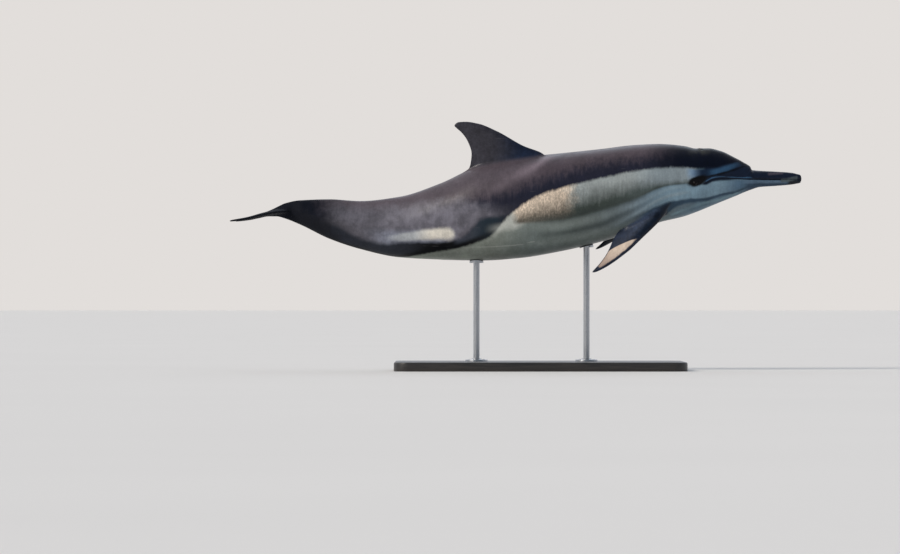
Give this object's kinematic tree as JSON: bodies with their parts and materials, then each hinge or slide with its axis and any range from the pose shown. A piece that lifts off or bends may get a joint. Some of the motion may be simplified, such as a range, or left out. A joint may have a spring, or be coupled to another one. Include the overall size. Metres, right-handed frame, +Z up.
{
  "type": "common dolphin",
  "caption": "Life-size common dolphin in mid leap, leaning a little to its right, on two rods above a flat plinth.",
  "frame": {"origin": "on the floor, under the middle of the whole model's box", "axes": "+X towards the beak, +Y to the animal's left, +Z up"},
  "size_m": [2.276, 0.64, 0.9922],
  "materials": {
    "skin": "wet satin skin: dark cape, tan and grey hourglass on the flank, pale belly",
    "eye": "polished, near black",
    "plinth": "black-stained oak, satin",
    "steel": "brushed"
  },
  "bodies": {
    "root": {"beak_upper": "skin", "beak_lower": "skin", "head": "skin", "neck": "skin", "chest": "skin", "trunk": "skin", "loin": "skin", "tail_stock": "skin", "dorsal_fin": "skin", "flipper_left": "skin", "flipper_right": "skin", "fluke_left": "skin", "fluke_right": "skin", "eye_left": "eye", "eye_right": "eye", "stand_plinth": "plinth", "stand_foot_front": "steel", "stand_foot_rear": "steel", "stand_rod_front": "steel", "stand_rod_rear": "steel", "stand_cup_front": "steel", "stand_cup_rear": "steel"}
  },
  "joints": []
}
